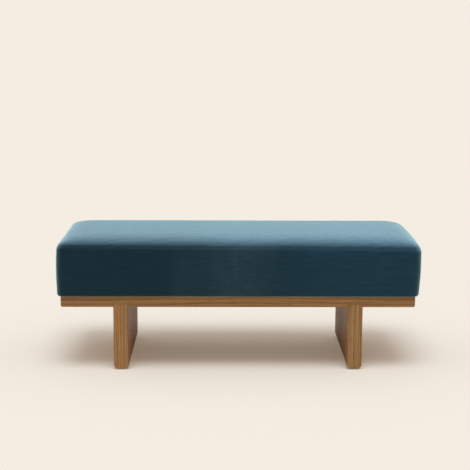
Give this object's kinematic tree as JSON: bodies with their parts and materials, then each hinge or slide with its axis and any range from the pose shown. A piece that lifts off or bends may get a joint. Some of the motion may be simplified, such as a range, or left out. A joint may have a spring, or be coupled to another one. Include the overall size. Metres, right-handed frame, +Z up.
{
  "type": "upholstered bench",
  "caption": "Long low bench with a boxed velvet cushion on an oak platform, carried by slab legs set in from the ends.",
  "frame": {"origin": "on the floor, under the middle of the bench", "axes": "+X along the bench to the right as seen from the front, +Y to the back, +Z up"},
  "size_m": [1.232, 0.492, 0.455],
  "materials": {
    "oak": "oiled, straight grained, satin",
    "beech": "planed, unfinished",
    "plywood": "sanded, unfinished",
    "zinc_steel": "zinc plated",
    "felt": "pressed felt, matt",
    "dust_cloth": "thin black non-woven cloth, matt",
    "foam": "open cell foam, matt",
    "fibre": "lofted polyester fibre, matt",
    "velvet": "short pile velvet with a pale sheen"
  },
  "bodies": {
    "root": {"platform_front_rail": "oak", "platform_back_rail": "oak", "platform_left_rail": "oak", "platform_right_rail": "oak", "left_cross_rail": "oak", "middle_cross_rail": "oak", "right_cross_rail": "oak", "left_leg": "oak", "right_leg": "oak", "mitre_tenons": "beech", "rail_tenons": "beech", "seat_board": "plywood", "leg_bolts": "zinc_steel", "leg_washers": "zinc_steel", "leg_inserts": "zinc_steel", "seat_screws": "zinc_steel", "foot_pads": "felt", "dust_cover": "dust_cloth", "foam_core": "foam", "foam_topper": "foam", "fibre_wrap": "fibre", "cover_top_panel": "velvet", "cover_front_border": "velvet", "cover_back_border": "velvet", "cover_left_border": "velvet", "cover_right_border": "velvet"}
  },
  "joints": []
}
